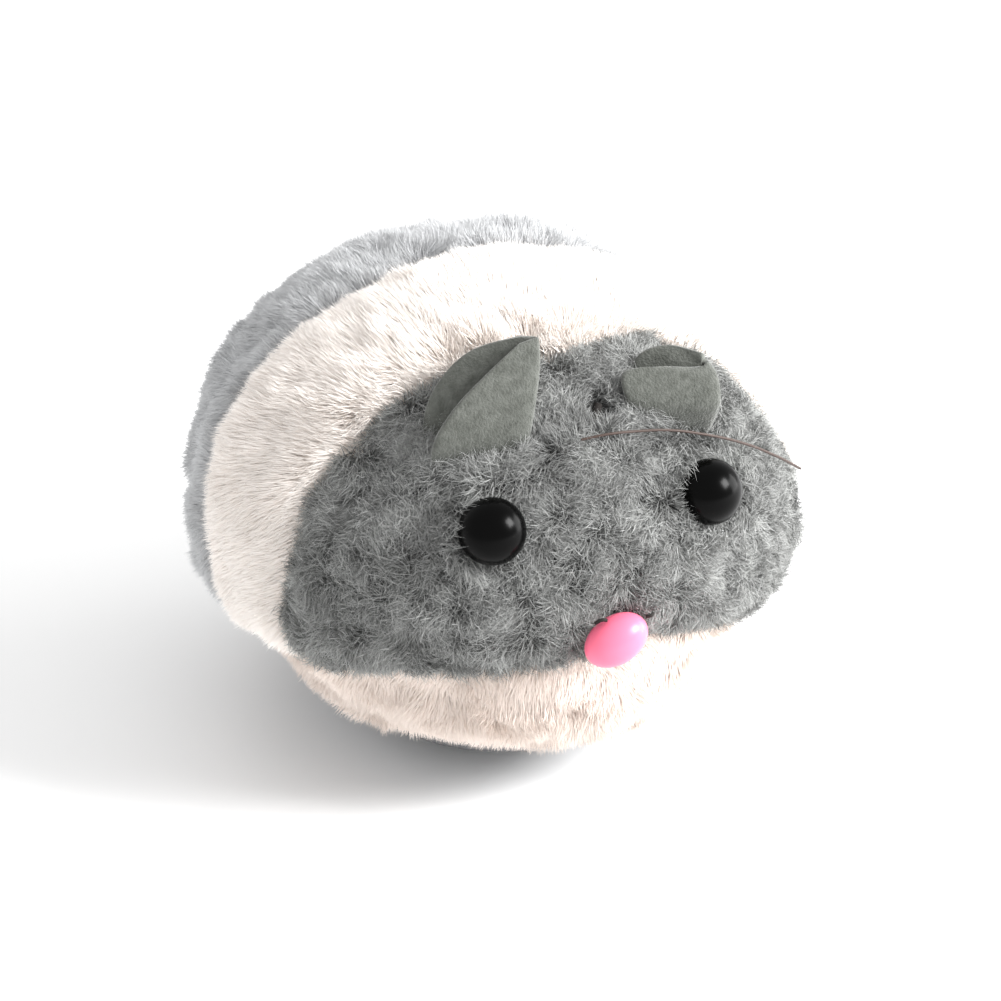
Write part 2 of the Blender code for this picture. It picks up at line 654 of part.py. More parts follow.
staff_set(
    "first",
    FIRST_AT,
    toothed(FIRST_TEETH, TRAIN_MODULE, 0.0),
    FIRST_X,
    toothed(FIRST_PINION_TEETH, GREAT_MODULE, FIRST_PHASE),
    GREAT_PINION_X,
)
staff_set(
    "second",
    SECOND_AT,
    toothed(SECOND_TEETH, TRAIN_MODULE, 0.0),
    SECOND_X,
    toothed(SECOND_PINION_TEETH, TRAIN_MODULE, SECOND_PHASE),
    FIRST_PINION_X,
)
staff_set(
    "escape",
    ESCAPE_AT,
    saw_toothed(ESCAPE_TEETH, ESCAPE_RADIUS, ESCAPE_RADIUS - 1.0 * MM, 0.0),
    ESCAPE_X,
    toothed(ESCAPE_PINION_TEETH, TRAIN_MODULE, ESCAPE_PHASE),
    SECOND_PINION_X,
)

# The pallet's two fingers reach either side of the escape wheel, just outside its tips.
FINGER_CLEAR = ESCAPE_RADIUS + 0.35 * MM
FINGER_DEPTH = 1.0 * MM
FINGER_SPREAD = math.radians(48)
HUB_RISE = 2.0 * MM
HUB_SPREAD = math.radians(20)


def near_escape(turn, radius):
    """A point about the pallet's pivot, given by its place round the escape wheel."""
    point = from_centre(ESCAPE_AT, PALLET_DIRECTION + turn, radius)
    return (point[0] - PALLET_AT[0], point[1] - PALLET_AT[1])


turns = [FINGER_SPREAD * (step - 6) / 6 for step in range(13)]
pallet_back = [
    FINGER_CLEAR + FINGER_DEPTH + HUB_RISE * math.exp(-((turn / HUB_SPREAD) ** 2)) for turn in turns
]
pallet_outline = [near_escape(turn, radius) for turn, radius in zip(turns, pallet_back)]
pallet_outline += [near_escape(turn, FINGER_CLEAR) for turn in turns[::-1]]
plate("pallet", [pallet_outline, STAFF_BORE], ESCAPE_X, PALLET_AT, BRASS)
shaft("pallet_staff", STAFF_RADIUS, STAFF_SPAN, PALLET_AT, SHAFT_STEEL)

# ---------------------------------------------------------------- mainspring, arbor, ratchet and key


def strip(path, thickness):
    """The outline of a flat strip along a path of points."""
    left = []
    right = []
    for index, point in enumerate(path):
        before = Vector(path[max(index - 1, 0)])
        after = Vector(path[min(index + 1, len(path) - 1)])
        along = (after - before).normalized()
        side = Vector((-along.y, along.x)) * thickness / 2
        left.append(tuple(Vector(point) + side))
        right.append(tuple(Vector(point) - side))
    return left + right[::-1]


def coil(turns, inner, outer, steps_per_turn=12):
    steps = turns * steps_per_turn
    path = []
    for step in range(steps + 1):
        radius = inner + (outer - inner) * step / steps
        path.append(from_centre((0.0, 0.0), 2 * math.pi * step / steps_per_turn, radius))
    return path


spring_inner = ARBOR_RADIUS + FIT + SPRING_THICKNESS / 2
spring_path = coil(SPRING_TURNS, spring_inner, SPRING_RADIUS - SPRING_THICKNESS / 2)
plate("mainspring", [strip(spring_path, SPRING_THICKNESS)], SPRING_X, ARBOR_AT, SPRING_STEEL)

ARBOR_SPAN = (-CASE_HALF_WIDTH + 0.2 * MM, KEY_COLLAR_X + 1.8 * MM)
shaft("arbor", ARBOR_RADIUS, ARBOR_SPAN, ARBOR_AT, SHAFT_STEEL, sides=16)
ratchet = saw_toothed(RATCHET_TEETH, RATCHET_RADIUS, RATCHET_RADIUS - 1.0 * MM, 0.0)
plate("ratchet_wheel", [ratchet, ARBOR_BORE], RATCHET_X, ARBOR_AT, BRASS)

CLICK_X = (RATCHET_X[0], RATCHET_X[1] - 0.2 * MM)
CLICK_REACH = 2.7 * MM
CLICK_PIVOT = from_centre((0.0, 0.0), math.radians(16), RATCHET_RADIUS + CLICK_REACH)
CLICK_NOSE = from_centre((0.0, 0.0), math.radians(55), RATCHET_RADIUS - 0.35 * MM)
CLICK_EYE = 0.95 * MM
click_way = math.atan2(CLICK_NOSE[1] - CLICK_PIVOT[1], CLICK_NOSE[0] - CLICK_PIVOT[0])
click_eye = [
    from_centre(CLICK_PIVOT, click_way + math.radians(60 + 30 * step), CLICK_EYE) for step in range(9)
]
click_tip = [
    from_centre(CLICK_NOSE, click_way + math.radians(-90), 0.2 * MM),
    from_centre(CLICK_NOSE, click_way + math.radians(90), 0.2 * MM),
]
click_outline = moved(click_eye + click_tip, (-CLICK_PIVOT[0], -CLICK_PIVOT[1]))
click_at = (ARBOR_AT[0] + CLICK_PIVOT[0], ARBOR_AT[1] + CLICK_PIVOT[1])
plate("click", [click_outline, circle(0.6 * MM, 12)], CLICK_X, click_at, BRASS)
shaft("click_pin", 0.35 * MM, (GREAT_X[1] + FIT, RATCHET_X[1]), click_at, SHAFT_STEEL)

LEAF_RADIUS = RATCHET_RADIUS + CLICK_REACH + CLICK_EYE + FIT + 0.2 * MM
leaf_path = [from_centre((0.0, 0.0), math.radians(6 * step - 60), LEAF_RADIUS) for step in range(16)]
plate("click_spring", [strip(leaf_path, 0.35 * MM)], CLICK_X, ARBOR_AT, SPRING_STEEL)

wing_span = (ARBOR_AT[1] - KEY_THICKNESS / 2, ARBOR_AT[1] + KEY_THICKNESS / 2)
collar = circle(KEY_COLLAR_RADIUS, 20)
KEY = plate("key", [collar], (KEY_COLLAR_X, KEY_COLLAR_X + KEY_COLLAR_LENGTH), ARBOR_AT, KEY_PLASTIC)
for side in (-1, 1):
    wing_y = ARBOR_AT[0] + side * KEY_WING_SPREAD
    wing = upright_disc(f"key_wing_{side + 1}", KEY_WING_RADIUS, wing_span, KEY_CENTRE_X, wing_y)
    boolean(KEY, wing, "UNION")
for side in (-1, 1):
    wing_y = ARBOR_AT[0] + side * (KEY_WING_SPREAD + 0.2 * MM)
    wing_hole = upright_disc(
        f"key_hole_{side + 1}", KEY_WING_HOLE, (0.0, FAR), KEY_CENTRE_X, wing_y, sides=16
    )
    boolean(KEY, wing_hole)
key_bore = plate("key_bore", [circle(ARBOR_RADIUS + FIT, 16)], (0.0, ARBOR_SPAN[1] + FIT), ARBOR_AT)
boolean(KEY, key_bore)

tunnel = plate("arbor_tunnel", [circle(ARBOR_RADIUS + 2 * FIT, 16)], (0.0, FAR), ARBOR_AT)
boolean(STUFFING, tunnel)
boolean(RUMP, tunnel)

# ---------------------------------------------------------------- running gear

WHEEL_OUTER_X = WHEEL_INNER_X + WHEEL_WIDTH
AXLE_BORE = circle(AXLE_RADIUS + FIT, 16)
AXLE_END = WHEEL_OUTER_X + 0.2 * MM

shaft("drive_axle", AXLE_RADIUS, (-AXLE_END, AXLE_END), AXLE_AT, SHAFT_STEEL, sides=16)
axle_gear = toothed(AXLE_TEETH, GREAT_MODULE, AXLE_PHASE)
plate("axle_pinion", [axle_gear, AXLE_BORE], GREAT_PINION_X, AXLE_AT, GEAR_PLASTIC)
for name, side in (("right", -1), ("left", 1)):
    span = tuple(sorted((side * WHEEL_INNER_X, side * WHEEL_OUTER_X)))
    rim = circle(WHEEL_RADIUS - TYRE_DEPTH - FIT, 32)
    plate(name + "_wheel", [rim, AXLE_BORE], span, AXLE_AT, WHEEL_PLASTIC)
    tread = circle(WHEEL_RADIUS, 32)
    bead_seat = circle(WHEEL_RADIUS - TYRE_DEPTH, 32)
    plate(name + "_tyre", [tread, bead_seat], span, AXLE_AT, TYRE_RUBBER)

roller_bore = circle(ROLLER_AXLE_RADIUS + BEARING_FIT, 16)
roller_span = (-ROLLER_HALF_WIDTH, ROLLER_HALF_WIDTH)
plate("front_roller", [circle(ROLLER_RADIUS, 32), roller_bore], roller_span, ROLLER_AT, WHEEL_PLASTIC)

# ---------------------------------------------------------------- base plate

PLATE_X = HALF_WIDTH * OPENING_RATIO - 0.35 * MM
PLATE_TOP = PLATE_LOW + PLATE_THICKNESS
tray = [
    (0.0, PLATE_TOP),
    (PLATE_X * PLATE_FLAT_RATIO, PLATE_TOP),
    (PLATE_X - PLATE_RIM, PLATE_SHOULDER + PLATE_THICKNESS),
    (PLATE_X - PLATE_RIM, PLATE_RIM_TOP),
    (PLATE_X, PLATE_RIM_TOP),
    (PLATE_X, PLATE_SHOULDER),
    (PLATE_X * PLATE_FLAT_RATIO, PLATE_LOW),
    (0.0, PLATE_LOW),
]
BASE = turned("base_plate", tray, BODY_FOOT, BASE_PLASTIC, LENGTHEN)

WHEEL_ROOM_X = (CASE_HALF_WIDTH + FIT, WHEEL_OUTER_X + 0.5 * MM)
ARCH_OUTER_X = WHEEL_ROOM_X[1] + ARCH_WALL
LUG_INNER_X = ROLLER_HALF_WIDTH + 0.8 * MM
LUG_OUTER_X = LUG_INNER_X + LUG_THICKNESS
for name, side in (("right", -1), ("left", 1)):
    hood_span = tuple(sorted((side * WHEEL_ROOM_X[0], side * ARCH_OUTER_X)))
    hood = plate(name + "_hood", [circle(WHEEL_RADIUS + ARCH_GAP + ARCH_WALL, 24)], hood_span, AXLE_AT)
    boolean(BASE, hood, "UNION")
    room_span = tuple(sorted((side * (WHEEL_ROOM_X[0] - 0.1 * MM), side * WHEEL_ROOM_X[1])))
    wheel_room = plate(name + "_wheel_room", [circle(WHEEL_RADIUS + ARCH_GAP, 24)], room_span, AXLE_AT)
    boolean(BASE, wheel_room)
    pocket_span = tuple(sorted((side * (WHEEL_ROOM_X[0] - 0.5 * MM), side * (ARCH_OUTER_X + FIT))))
    hood_pocket = circle(WHEEL_RADIUS + ARCH_GAP + ARCH_WALL + FIT + 0.1 * MM, 24)
    boolean(STUFFING, plate(name + "_hood_pocket", [hood_pocket], pocket_span, AXLE_AT))
    lug_low = (min(side * LUG_INNER_X, side * LUG_OUTER_X), ROLLER_Y - 2.2 * MM, PLATE_LOW + 0.5 * MM)
    lug_high = (max(side * LUG_INNER_X, side * LUG_OUTER_X), ROLLER_Y + 2.2 * MM, ROLLER_RADIUS + 2.2 * MM)
    boolean(BASE, box(name + "_lug", lug_low, lug_high), "UNION")

roller_low = (-LUG_INNER_X + 0.3 * MM, ROLLER_Y - ROLLER_RADIUS - 0.5 * MM, 0.0)
roller_high = (LUG_INNER_X - 0.3 * MM, ROLLER_Y + ROLLER_RADIUS + 0.5 * MM, PLATE_TOP + MM)
boolean(BASE, box("roller_slot", roller_low, roller_high))
shaft("front_axle", ROLLER_AXLE_RADIUS, (-LUG_OUTER_X, LUG_OUTER_X), ROLLER_AT, SHAFT_STEEL)
axle_groove = circle(ROLLER_AXLE_RADIUS + FIT, 16)
boolean(BASE, plate("front_axle_hole", [axle_groove], (-LUG_OUTER_X - MM, LUG_OUTER_X + MM), ROLLER_AT))

boolean(BASE, box("under_plate", (-FAR, -FAR, -FAR), (FAR, FAR, PLATE_LOW)))
arbor_clearance = circle(ARBOR_RADIUS + FIT, 16)
boolean(BASE, plate("arbor_clearance", [arbor_clearance], (-FAR, FAR), ARBOR_AT))
pinion_clearance = circle(tip_radius(AXLE_TEETH, GREAT_MODULE) + FIT, 24)
pinion_span = (GREAT_PINION_X[0] - FIT, GREAT_PINION_X[1] + FIT)
boolean(BASE, plate("pinion_clearance", [pinion_clearance], pinion_span, AXLE_AT))
limit_profile = [(0.0, FAR), (PLATE_X, FAR), (PLATE_X, 0.0), (0.0, 0.0)]
boolean(BASE, turned("plate_limit", limit_profile, BODY_FOOT, None, LENGTHEN), "INTERSECT")

for number, (x, y) in enumerate(BASE_SCREWS, 1):
    hole_span = (0.0, PLATE_TOP + MM)
    hole_radius = SCREW_RADIUS + FIT
    hole = upright_disc(f"base_screw_hole_{number}", hole_radius, hole_span, x, y, sides=SCREW_SIDES)
    boolean(BASE, hole)
    sink_span = (0.0, PLATE_LOW + 0.9 * MM)
    sink_radius = SCREW_HEAD + FIT
    sink = upright_disc(f"base_screw_sink_{number}", sink_radius, sink_span, x, y, sides=SCREW_SIDES)
    boolean(BASE, sink)
    head_top = PLATE_LOW + 0.6 * MM
    point = [(0.0, BASE_SCREW_TOP), (SCREW_RADIUS, BASE_SCREW_TOP), (SCREW_RADIUS, head_top)]
    head = [(SCREW_HEAD, head_top), (SCREW_HEAD, PLATE_LOW), (0.0, PLATE_LOW)]
    turned(f"base_screw_{number}", point + head, at(x, y, 0.0), SCREW_STEEL, steps=SCREW_SIDES)
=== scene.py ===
"""A small plush clockwork mouse with bead eyes and nose, on a pale studio floor. Metres, +Z up, nose towards -Y."""

import math

import bpy
import numpy as np
from mathutils import Matrix, Vector


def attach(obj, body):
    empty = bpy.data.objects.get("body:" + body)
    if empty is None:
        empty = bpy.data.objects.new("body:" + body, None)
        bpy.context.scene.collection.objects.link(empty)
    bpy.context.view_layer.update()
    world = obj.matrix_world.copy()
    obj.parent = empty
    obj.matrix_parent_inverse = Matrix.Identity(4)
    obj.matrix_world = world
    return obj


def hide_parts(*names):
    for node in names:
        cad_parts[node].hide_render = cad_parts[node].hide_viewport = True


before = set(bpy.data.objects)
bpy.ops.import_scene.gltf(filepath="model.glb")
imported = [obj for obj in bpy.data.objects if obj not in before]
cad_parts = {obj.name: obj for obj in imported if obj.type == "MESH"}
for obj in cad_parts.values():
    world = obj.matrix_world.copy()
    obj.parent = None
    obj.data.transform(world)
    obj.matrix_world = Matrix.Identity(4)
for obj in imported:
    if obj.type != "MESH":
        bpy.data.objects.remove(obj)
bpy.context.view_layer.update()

# ---------------------------------------------------------------- the stuffed body
# A round stuffed body is sewn from four pieces of knitted plush: grey head, white band, grey rump and cream belly.
# The cloth pulls in along each seam and puffs out between them. Sizes are millimetres, with x = 0 the mouse's middle.

MM = 0.001
MIDDLE = np.array([-3.55, -0.2, 0.0])
BODY_Y = 1.0
BODY_Z = 28.7
MIDDLE_OF_BODY = np.array([0.0, BODY_Y, BODY_Z])
# How far the cloth reaches from the body's middle, and how square it is below that middle.
CLOTH = {"side": 31.5, "front": 35.2, "rear": 33.9, "up": 25.4, "down": 23.8}
ROUND = 2.0
SQUARE = 2.5
# Where the seams run: the head's dips forward at the top, and the rump's leans below a height.
HEAD_SEAM = -15.0
HEAD_SEAM_DIP = 2.6
HEAD_SEAM_DIP_WIDTH = 9.0
RUMP_SEAM = 2.8
RUMP_SEAM_TURN = 42.0
RUMP_SEAM_LEAN = 0.2
# The belly line, which rises at the mouth and drops under the left cheek.
BELLY_Z = 18.3
BELLY_SLOPE = -0.17
MOUTH_X = 3.0
MOUTH_WIDTH = 6.0
MOUTH_LIFT = 1.8
JOWL_DROP = 2.0
# How much the seams pull the cloth in and over what width, how much the rest tucks under or swells, and where the
# cheeks bulge.
SEAM_PULL = 0.9
SEAM_WIDTH = 1.9
BELLY_PULL = 1.3
BELLY_PULL_WIDTH = 1.8
TUCK = 2.6
SWELL = 0.4
SWELL_SIZE = 24.0
CHEEK = (26.5, -19.0, 25.0)
CHEEK_RISE = 1.6
CHEEK_SPREAD = 10.0
# The oval rim of the base, where the belly panel ends.
RIM_X = 22.6
RIM_Y = 26.1
RIM_TOP = 12.6


def seeded(number):
    return np.random.default_rng(number)


def smooth(low, high, value):
    """0 below low, 1 above high, and a smooth rise between."""
    part = np.clip((value - low) / (high - low), 0.0, 1.0)
    return part * part * (3 - 2 * part)


def unit(vectors):
    return vectors / np.linalg.norm(vectors, axis=1, keepdims=True)


def flattened(vectors, up):
    """These vectors without their share along up."""
    return vectors - up * np.sum(vectors * up, axis=1, keepdims=True)


def lumps(points, size, seed, octaves=2):
    """Smooth random values near -1 to 1 at these points, for features of about this size in millimetres."""
    draw = seeded(seed)
    total = np.zeros(len(points))
    for octave in range(octaves):
        for _ in range(6):
            way = draw.normal(size=3)
            way *= 2 * math.pi / (size * 0.5**octave) / np.linalg.norm(way) * draw.uniform(0.7, 1.3)
            total += np.sin(points @ way + draw.uniform(0, 2 * math.pi)) * 0.5**octave / 2.1
    return total


def past_head_seam(points):
    """How far behind the head's seam these points lie."""
    dip = HEAD_SEAM_DIP * np.exp(-((points[:, 0] / HEAD_SEAM_DIP_WIDTH) ** 2))
    return points[:, 1] - HEAD_SEAM + dip


def past_rump_seam(points):
    """How far behind the rump's seam these points lie."""
    return points[:, 1] - RUMP_SEAM - RUMP_SEAM_LEAN * np.minimum(0.0, points[:, 2] - RUMP_SEAM_TURN)


def above_belly_line(points):
    """How far above the belly's seam these points lie."""
    mouth = MOUTH_LIFT * np.exp(-(((points[:, 0] - MOUTH_X) / MOUTH_WIDTH) ** 2)) * smooth(-26.0, -32.0, points[:, 1])
    jowl = JOWL_DROP * smooth(6.0, 20.0, points[:, 0]) * smooth(-6.0, -20.0, points[:, 1])
    return points[:, 2] - (BELLY_Z + BELLY_SLOPE * points[:, 1] + mouth - jowl)


def body_surface(ways):
    """Where these directions from the body's middle meet the cloth, pinched in along the seams."""
    ways = unit(ways)
    along = np.where(ways[:, 1] < 0, CLOTH["front"], CLOTH["rear"])
    upward = np.where(ways[:, 2] > 0, CLOTH["up"], CLOTH["down"])
    power = np.where(ways[:, 2] > 0, ROUND, SQUARE)
    flat = np.sqrt((ways[:, 0] / CLOTH["side"]) ** 2 + (ways[:, 1] / along) ** 2)
    reach = (flat**power + np.abs(ways[:, 2] / upward) ** power) ** (-1 / power)
    points = ways * reach[:, None] + MIDDLE_OF_BODY
    height = above_belly_line(points)
    pinch = BELLY_PULL * np.exp(-((height / BELLY_PULL_WIDTH) ** 2))
    upper = smooth(-1.0, 1.0, height)
    for past in (past_head_seam(points), past_rump_seam(points)):
        pinch += SEAM_PULL * upper * np.exp(-((past / SEAM_WIDTH) ** 2))
    tuck = TUCK * smooth(1.5, -3.0, height) * smooth(-14.0, -4.0, height)
    swell = SWELL * lumps(points, SWELL_SIZE, 3)
    folded = np.stack([np.abs(points[:, 0]), points[:, 1], points[:, 2]], axis=1)
    cheek = CHEEK_RISE * np.exp(-np.sum((folded - CHEEK) ** 2, axis=1) / CHEEK_SPREAD**2)
    outward = unit(ways * np.array([1.0, 1.0, 0.6]))
    return points - outward * (pinch + tuck - swell - cheek)[:, None]


def facing(ways):
    """The cloth's outward normals in these directions, from its slope a little either side."""
    ways = unit(ways)
    side = np.where(np.abs(ways[:, 2:]) > 0.9, [[1.0, 0.0, 0.0]], [[0.0, 0.0, 1.0]])
    first = unit(np.cross(ways, side))
    second = np.cross(ways, first)
    step = 0.03
    across = body_surface(ways + step * first) - body_surface(ways - step * first)
    along = body_surface(ways + step * second) - body_surface(ways - step * second)
    normals = unit(np.cross(across, along))
    return normals * np.sign(np.sum(normals * ways, axis=1, keepdims=True))


def linear(code):
    """An sRGB hex colour as linear RGBA."""
    values = [int(code[start : start + 2], 16) / 255 for start in (1, 3, 5)]
    return [v / 12.92 if v <= 0.04045 else ((v + 0.055) / 1.055) ** 2.4 for v in values] + [1.0]


def node(material, kind, settings=(), **sockets):
    """Adds a shader node with its settings, and fills its inputs: a value is set and an output is linked."""
    added = material.node_tree.nodes.new(kind)
    for name, value in dict(settings).items():
        setattr(added, name, value)
    for name, value in sockets.items():
        target = added.inputs[int(name[1:])] if name[1:].isdigit() else added.inputs[name.replace("_", " ")]
        if isinstance(value, bpy.types.NodeSocket):
            material.node_tree.links.new(value, target)
        else:
            target.default_value = value
    return added


def new_finish(name, roughness=0.5, **sockets):
    """A material and its shader, with the constant sockets set straight on the shader."""
    made = bpy.data.materials.new(name)
    made.use_nodes = True
    shader = made.node_tree.nodes["Principled BSDF"]
    shader.inputs["Roughness"].default_value = roughness
    for socket, value in sockets.items():
        shader.inputs[socket.replace("_", " ")].default_value = value
    return made, shader


def link(material, output, target):
    material.node_tree.links.new(output, target)


def mesh_object(name, points, faces, material, uv=None, smooth_shaded=False):
    """A piece from points in millimetres in the mouse's axes, with its own UV map where it has one."""
    mesh = bpy.data.meshes.new(name)
    points = (np.asarray(points) + MIDDLE) * MM
    faces = np.asarray(faces)
    mesh.vertices.add(len(points))
    mesh.vertices.foreach_set("co", points.astype(np.float32).ravel())
    sides = faces.shape[1]
    mesh.loops.add(faces.size)
    mesh.loops.foreach_set("vertex_index", faces.astype(np.int32).ravel())
    mesh.polygons.add(len(faces))
    mesh.polygons.foreach_set("loop_start", np.arange(0, faces.size, sides, dtype=np.int32))
    mesh.polygons.foreach_set("use_smooth", np.full(len(faces), smooth_shaded))
    mesh.update(calc_edges=True)
    if uv is not None:
        layer = mesh.uv_layers.new(name="OFBake")
        layer.data.foreach_set("uv", np.asarray(uv)[faces.ravel()].astype(np.float32).ravel())
    mesh.materials.append(material)
    made = bpy.data.objects.new(name, mesh)
    bpy.context.scene.collection.objects.link(made)
    return made


# ---------------------------------------------------------------- plush panels and their pile
# Each panel is a knitted backing with a cut polyester pile of 3 to 4 mm: brushed smooth, or curled into small tufts.
# The pile is modelled as strands, each one a narrow bent blade rooted in the backing.

STRANDS_PER_MM2 = 58.0
CLOTH_AREA = 12600.0
RIGHT_EYE = np.array([-12.2, -31.6, 39.6])
LEFT_EYE = np.array([12.8, -31.3, 38.5])
NOSE = np.array([-0.9, -37.2, 26.9])
STITCH_HOLE = np.array([2.9, -25.4, 48.4])
# Where the pile is cut short: the middle, how far round it, and the share of its length that is left there.
BARE = [(RIGHT_EYE, 2.7, 0.4), (LEFT_EYE, 2.7, 0.4), (NOSE, 2.3, 0.4), (STITCH_HOLE, 2.0, 0.08)]
BARE_HEIGHT = 2.5
# The side from which longer pile laps over each eye, how strongly it does so, and the ring in which it is rooted.
OVERHANG = np.array([-0.64, 0.55, 0.54])
LAPS = ((RIGHT_EYE, 1.0), (LEFT_EYE, 0.4))
LAP_HEIGHT = 2.8
LAP_RING = 4.0
LAP_RING_WIDTH = 0.5
LAP_GROWTH = 0.9
LAP_BEND = 1.6
# The sizes in millimetres of spots of longer and shorter pile and of darker and paler pile, what the tone varies by,
# how far tufts wander from their rows, and how far strands are shaken from an even spread.
UNEVEN_SIZE = 4.0
TONE_SIZE = 5.0
TONE_MIDDLE = 0.6
TONE_BY_SPOT = 0.28
TONE_BY_STRAND = 0.16
TUFT_WANDER = 0.8
SHAKE = 1.2
UV_LOW = 0.02
UV_HIGH = 0.98


def pile_finish(name, shaded_root, middle, lit_tip, darkest):
    """Cut polyester pile, dull: painted shade darkens each strand towards its root and painted light passing through
    makes it paler at the tip, uneven by tuft.
    """
    made, shader = new_finish(name, 0.7, Sheen_Weight=0.12, Specular_IOR_Level=0.2)
    place = node(made, "ShaderNodeUVMap", {"uv_map": "OFBake"})
    parts = node(made, "ShaderNodeSeparateXYZ", Vector=place.outputs["UV"])
    # A ramp along each strand, from the painted shade of the root to the painted light of the tip.
    ramp = node(made, "ShaderNodeValToRGB", Fac=parts.outputs["X"])
    ramp.color_ramp.elements[0].color = linear(shaded_root)
    ramp.color_ramp.elements[1].color = linear(lit_tip)
    ramp.color_ramp.elements.new(0.5).color = linear(middle)
    scale = node(made, "ShaderNodeMapRange", Value=parts.outputs["Y"], To_Min=darkest, To_Max=1.0)
    blend = {"data_type": "RGBA", "blend_type": "MULTIPLY"}
    tone = node(made, "ShaderNodeMix", blend, _0=1.0, _6=ramp.outputs["Color"], _7=scale.outputs["Result"])
    link(made, tone.outputs[2], shader.inputs["Base Color"])
    return made


def knit_finish(name, code):
    """Knitted polyester backing: matt, with a fine uneven knit of about 0.8 mm."""
    made, shader = new_finish(name, 0.95, Specular_IOR_Level=0.2)
    shader.inputs["Base Color"].default_value = linear(code)
    where = node(made, "ShaderNodeTexCoord")
    knit = node(made, "ShaderNodeTexNoise", Vector=where.outputs["Object"], Scale=1250.0, Detail=2.0)
    bump = node(made, "ShaderNodeBump", Height=knit.outputs["Fac"], Strength=0.4, Distance=0.0002)
    link(made, bump.outputs["Normal"], shader.inputs["Normal"])
    return made


def in_head(points):
    return (past_head_seam(points) < 0) & (above_belly_line(points) > 0)


def in_saddle(points):
    return (past_head_seam(points) >= 0) & (past_rump_seam(points) < 0) & (above_belly_line(points) > 0)


def in_rump(points):
    return (past_rump_seam(points) >= 0) & (above_belly_line(points) > 0)


def in_belly(points):
    outside_rim = (points[:, 0] / RIM_X) ** 2 + ((points[:, 1] - BODY_Y) / RIM_Y) ** 2 > 1
    return (above_belly_line(points) <= 0) & (outside_rim | (points[:, 2] > RIM_TOP))


def spread_ways(count, seed):
    """Directions spread evenly round a sphere, a little shaken."""
    draw = seeded(seed)
    index = np.arange(count) + 0.5
    height = 1 - 2 * index / count
    turn = math.pi * (1 + 5**0.5) * index
    flat = np.sqrt(1 - height**2)
    ways = np.stack([flat * np.cos(turn), flat * np.sin(turn), height], axis=1)
    return ways + draw.normal(scale=SHAKE / math.sqrt(count), size=ways.shape)


def backing(name, inside, material):
    """The cloth of one panel: the part of a fine closed body whose faces lie inside its seams."""
    bpy.ops.object.select_all(action="DESELECT")
    bpy.ops.mesh.primitive_ico_sphere_add(subdivisions=7, radius=1)
    ball = bpy.context.object
    ways = np.empty(len(ball.data.vertices) * 3)
    ball.data.vertices.foreach_get("co", ways)
    corners = np.empty(len(ball.data.polygons) * 3, dtype=np.int32)
    ball.data.polygons.foreach_get("vertices", corners)
    bpy.data.objects.remove(ball, do_unlink=True)
    points = body_surface(ways.reshape(-1, 3))
    triangles = corners.reshape(-1, 3)
    kept = triangles[inside(points[triangles].mean(axis=1))]
    used, faces = np.unique(kept, return_inverse=True)
    return mesh_object(name, points[used], faces.reshape(-1, 3), material, smooth_shaded=True)


